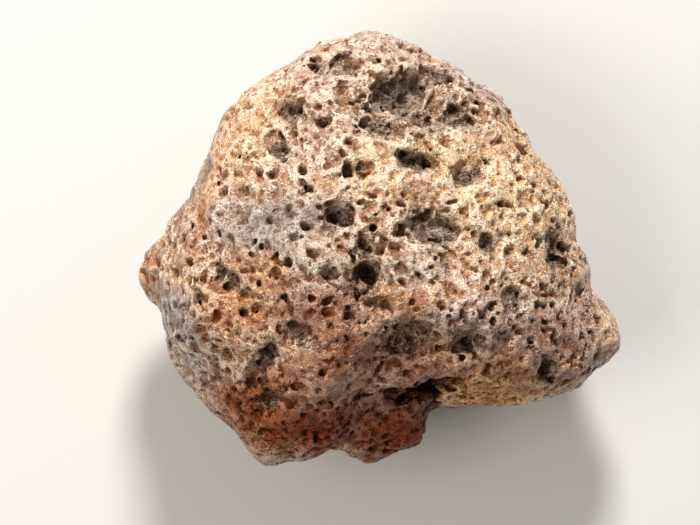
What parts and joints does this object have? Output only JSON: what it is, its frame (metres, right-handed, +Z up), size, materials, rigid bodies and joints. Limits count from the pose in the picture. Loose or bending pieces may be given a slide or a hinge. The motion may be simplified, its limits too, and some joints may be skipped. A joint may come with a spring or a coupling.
{
  "type": "agate",
  "caption": "Rough agate nodule with a weathered, pitted face, ledges and hollows, lying on a small natural flat on its back.",
  "frame": {"origin": "on the resting plane, under the middle of the stone's box", "axes": "+Z up out of the weathered face, +X along the stone's width towards the knob, +Y towards the narrow top end"},
  "size_m": [0.0466, 0.042, 0.0281],
  "materials": {
    "agate_stone": "weathered, waxy"
  },
  "bodies": {
    "root": {"agate_nodule": "agate_stone"}
  },
  "joints": []
}
